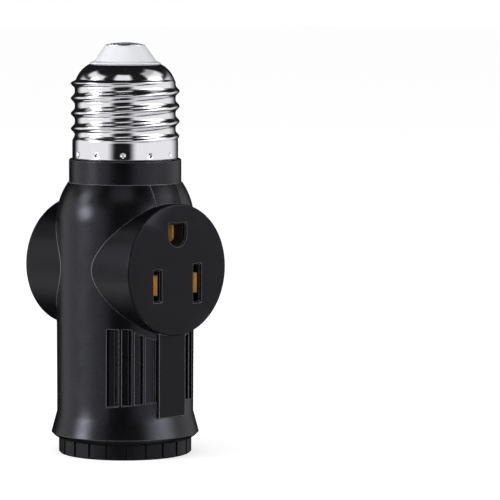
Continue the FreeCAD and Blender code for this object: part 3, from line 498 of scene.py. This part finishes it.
def cap_rows():
    """The screw shell's outside from its foot up, then its inside back down."""
    angles = ring_angles()
    skirt, top = SKIRT_TOP_Z, THREAD_END_Z
    middle = CREST_RADIUS - THREAD_DEPTH / 2
    ends = (SKIRT_RADIUS, THREAD_END_RADIUS)
    inner_ends = (SKIRT_RADIUS - SHEET, THREAD_END_RADIUS - SHEET)
    rows = []
    for z in levels(COLLAR_Z, skirt, FINE):
        lip = SKIRT_LIP * (1 - ease((z - COLLAR_Z) / (2 * SKIRT_LIP)))
        rows.append((SKIRT_RADIUS - lip - dimples(angles, z), z))
    for z in levels(skirt + FINEST, top, FINEST):
        rows.append((thread_radius(angles, z, skirt, top, ends, middle), z))
    rows += dome(0, DOME_ROWS)[1:]
    rows.append((DOME_TOP[0] - SHEET, THREAD_END_Z + DOME_TOP[1]))
    rows += dome(SHEET, DOME_INSIDE_ROWS)[::-1]
    for z in levels(top - COARSE, skirt, COARSE):
        rows.append((thread_radius(angles, z, skirt, top, inner_ends, middle - SHEET), z))
    for z in levels(skirt - COARSE / 2, COLLAR_Z, COARSE / 2):
        rows.append((SKIRT_RADIUS - SHEET - dimples(angles, z), z))
    return rows


def socket_rows():
    """The lamp socket shell's inside from its mouth up, then its outside back down."""
    angles = ring_angles()
    low = SOCKET_Z + SOCKET_LEAD_IN
    top = low + SOCKET_TURNS * PITCH
    inner, outer = SOCKET_RADIUS, SOCKET_RADIUS + SOCKET_SHEET
    middle = CREST_RADIUS - THREAD_DEPTH / 2 + SOCKET_CLEARANCE
    rows = [(inner, z) for z in levels(SOCKET_Z, low, 2 * COARSE)[:-1]]
    for z in levels(low, top, FINE):
        rows.append((thread_radius(angles, z, low, top, (inner, inner), middle), z))
    rows.append((inner, SOCKET_TOP_Z - SOCKET_SHEET))
    rows.append((SOCKET_FLANGE_RADIUS, SOCKET_TOP_Z - SOCKET_SHEET))
    rows.append((SOCKET_FLANGE_RADIUS, SOCKET_TOP_Z))
    rows.append((outer, SOCKET_TOP_Z))
    outer_middle = middle + SOCKET_SHEET
    for z in levels(top, low, COARSE):
        rows.append((thread_radius(angles, z, low, top, (outer, outer), outer_middle), z))
    rows.append((outer, SOCKET_Z))
    return rows


cap = wall_mesh("cap_shell", cap_rows(), nickel)
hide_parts("screw_shell")
socket = wall_mesh("lamp_socket_shell", socket_rows(), socket_metal)
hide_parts("socket_shell")
smooth((cap, socket), SHARP_SHELL_CORNER)


# Camera


def direction(azimuth, elevation):
    """A unit vector away from the object; azimuth 0 is its front."""
    a, e = math.radians(azimuth), math.radians(elevation)
    return Vector((math.sin(a) * math.cos(e), -math.cos(a) * math.cos(e), math.sin(e)))


def look(at, target):
    """The turn of a camera or lamp that stands at a place and aims at a target."""
    return (target - at).to_track_quat("-Z", "Y")


lens = bpy.data.cameras.new("camera")
lens.lens = CAMERA_LENS
lens.sensor_width = SENSOR_WIDTH
lens.clip_start = CLIP_START
lens.clip_end = CLIP_END
camera = bpy.data.objects.new("camera", lens)
bpy.context.scene.collection.objects.link(camera)
camera_target = Vector((0, 0, CAMERA_TARGET_Z))
spot = camera_target + direction(CAMERA_AZIMUTH, CAMERA_ELEVATION) * CAMERA_DISTANCE
aim = look(spot, camera_target).to_matrix()
pan = Matrix.Rotation(math.radians(-CAMERA_PAN), 3, aim.col[1])
camera.matrix_world = Matrix.Translation(spot) @ (pan @ aim).to_4x4()
bpy.context.scene.camera = camera


# Lamps, which light the object but stay out of its reflections


def softbox(name, beside, elevation, distance, width, height, power):
    """An area light at an angle beside the camera, aimed at the object."""
    data = bpy.data.lights.new(name, "AREA")
    data.shape = "RECTANGLE"
    data.size = width
    data.size_y = height
    data.energy = power
    lamp = bpy.data.objects.new(name, data)
    bpy.context.scene.collection.objects.link(lamp)
    target = Vector((0, 0, LAMP_TARGET_Z))
    lamp.location = target + direction(CAMERA_AZIMUTH + beside, elevation) * distance
    lamp.rotation_mode = "QUATERNION"
    lamp.rotation_quaternion = look(lamp.location, target)
    lamp.visible_glossy = False


for row in LAMPS:
    softbox(*row)


# What reflections see around the object


def inside_oval(azimuth, elevation, middle, height, half_width, half_height):
    """1 in the middle of an oval, 0 at its rim and negative outside."""
    across = (azimuth - middle) / half_width
    up = (elevation - height) / half_height
    return 1 - np.hypot(across, up)


def card_cover(azimuth, elevation):
    """How much of the white surroundings the cards hide in a direction."""
    left = np.ones_like(azimuth)
    for azimuths, elevations, soft, darkness in CARDS:
        middle, half = sum(azimuths) / 2, (azimuths[1] - azimuths[0]) / 2
        beside = half - abs((azimuth - middle + 180) % 360 - 180)
        above = np.minimum(elevation - elevations[0], elevations[1] - elevation)
        shade = ease(beside / (2 * soft[0]) + 0.5) * ease(above / (2 * soft[1]) + 0.5)
        left = left * (1 - darkness * shade)
    left = left * (1 - ease(ROUND_CARD_EDGE * inside_oval(azimuth, elevation, *ROUND_CARD)))
    return 1 - left


def box_glow(azimuth, elevation):
    """How bright the boxes are in a direction."""
    glow = np.zeros_like(azimuth)
    for *oval, level in BOXES:
        glow += level * ease(inside_oval(azimuth, elevation, *oval))
    return glow


def card_material():
    """Dark where the cards are, bright where the boxes are and clear elsewhere."""
    material, tree, shader = new_material("cards")
    tree.nodes.remove(shader)
    clear = tree.nodes.new("ShaderNodeBsdfTransparent")
    dark = tree.nodes.new("ShaderNodeEmission")
    dark.inputs["Color"].default_value = (*CARD_BLACK, 1)
    cover = tree.nodes.new("ShaderNodeAttribute")
    cover.attribute_name = "cover"
    card = tree.nodes.new("ShaderNodeMixShader")
    link(tree, cover, "Fac", card, "Fac")
    link(tree, clear, 0, card, 1)
    link(tree, dark, 0, card, 2)
    glow = tree.nodes.new("ShaderNodeAttribute")
    glow.attribute_name = "glow"
    bright = tree.nodes.new("ShaderNodeEmission")
    link(tree, glow, "Fac", bright, "Strength")
    both = tree.nodes.new("ShaderNodeAddShader")
    link(tree, card, 0, both, 0)
    link(tree, bright, 0, both, 1)
    link(tree, both, 0, tree.nodes["Material Output"], "Surface")
    return material


def card_ball():
    """A ball around the object that only reflections see, with cards and boxes on it."""
    azimuths = np.arange(BALL_COLUMNS) * 360 / BALL_COLUMNS - 180
    elevations = np.linspace(-BALL_TOP, BALL_TOP, BALL_ROWS)
    points = [
        tuple(direction(CAMERA_AZIMUTH + azimuth, elevation) * BALL_RADIUS)
        for elevation in elevations
        for azimuth in azimuths
    ]
    faces = []
    for row in range(BALL_ROWS - 1):
        low, high = row * BALL_COLUMNS, (row + 1) * BALL_COLUMNS
        for column in range(BALL_COLUMNS):
            beside = (column + 1) % BALL_COLUMNS
            faces.append((low + column, low + beside, high + beside, high + column))
    mesh = bpy.data.meshes.new("cards")
    mesh.from_pydata(points, [], faces)
    elevation, azimuth = np.meshgrid(elevations, azimuths, indexing="ij")
    for name, value in (("cover", card_cover), ("glow", box_glow)):
        attribute = mesh.attributes.new(name, "FLOAT", "POINT")
        values = value(azimuth, elevation).ravel().astype(np.float32)
        attribute.data.foreach_set("value", values)
    mesh.materials.append(card_material())
    ball = bpy.data.objects.new("cards", mesh)
    bpy.context.scene.collection.objects.link(ball)
    ball.visible_camera = False
    ball.visible_diffuse = False
    ball.visible_shadow = False
    ball.visible_transmission = False


card_ball()


# White surroundings and the floor


def seen_directly(tree):
    """1 for camera, glossy and transmission rays, otherwise 0."""
    path = tree.nodes.new("ShaderNodeLightPath")
    source, socket = path, "Is Camera Ray"
    for ray in ("Is Glossy Ray", "Is Transmission Ray"):
        larger = tree.nodes.new("ShaderNodeMath")
        larger.operation = "MAXIMUM"
        link(tree, source, socket, larger, 0)
        link(tree, path, ray, larger, 1)
        source, socket = larger, "Value"
    return source


def strength(tree, when_seen, otherwise):
    """A strength that differs between what is seen directly and what lights the rest."""
    node = tree.nodes.new("ShaderNodeMapRange")
    node.inputs["To Min"].default_value = otherwise
    node.inputs["To Max"].default_value = when_seen
    link(tree, seen_directly(tree), "Value", node, "Value")
    return node


def white_surroundings():
    world = bpy.data.worlds.new("studio")
    bpy.context.scene.world = world
    world.use_nodes = True
    tree = world.node_tree
    background = tree.nodes["Background"]
    background.inputs["Color"].default_value = (1, 1, 1, 1)
    level = strength(tree, SURROUNDINGS_SEEN, SURROUNDINGS_LIGHT)
    link(tree, level, "Result", background, "Strength")


def floor_material():
    """Pale floor that is clear from below."""
    material, tree, shader = new_material("floor")
    shader.inputs["Base Color"].default_value = (FLOOR_GREY, FLOOR_GREY, FLOOR_GREY, 1)
    shader.inputs["Roughness"].default_value = FLOOR_ROUGHNESS
    shader.inputs["Specular IOR Level"].default_value = 0.0
    shader.inputs["Emission Color"].default_value = (1, 1, 1, 1)
    glow = strength(tree, FLOOR_GLOW_SEEN, 0.0)
    link(tree, glow, "Result", shader, "Emission Strength")
    side = tree.nodes.new("ShaderNodeNewGeometry")
    below = tree.nodes.new("ShaderNodeBsdfTransparent")
    one_sided = tree.nodes.new("ShaderNodeMixShader")
    link(tree, side, "Backfacing", one_sided, "Fac")
    link(tree, shader, 0, one_sided, 1)
    link(tree, below, 0, one_sided, 2)
    link(tree, one_sided, 0, tree.nodes["Material Output"], "Surface")
    return material


def floor_sheet():
    corners = [(-1, -1), (1, -1), (1, 1), (-1, 1)]
    points = [(x * FLOOR_REACH, y * FLOOR_REACH, 0) for x, y in corners]
    mesh = bpy.data.meshes.new("floor")
    mesh.from_pydata(points, [], [(0, 1, 2, 3)])
    mesh.materials.append(floor_material())
    floor = bpy.data.objects.new("floor", mesh)
    bpy.context.scene.collection.objects.link(floor)
    floor.visible_glossy = False


white_surroundings()
floor_sheet()

bpy.context.scene.view_settings.view_transform = "Standard"
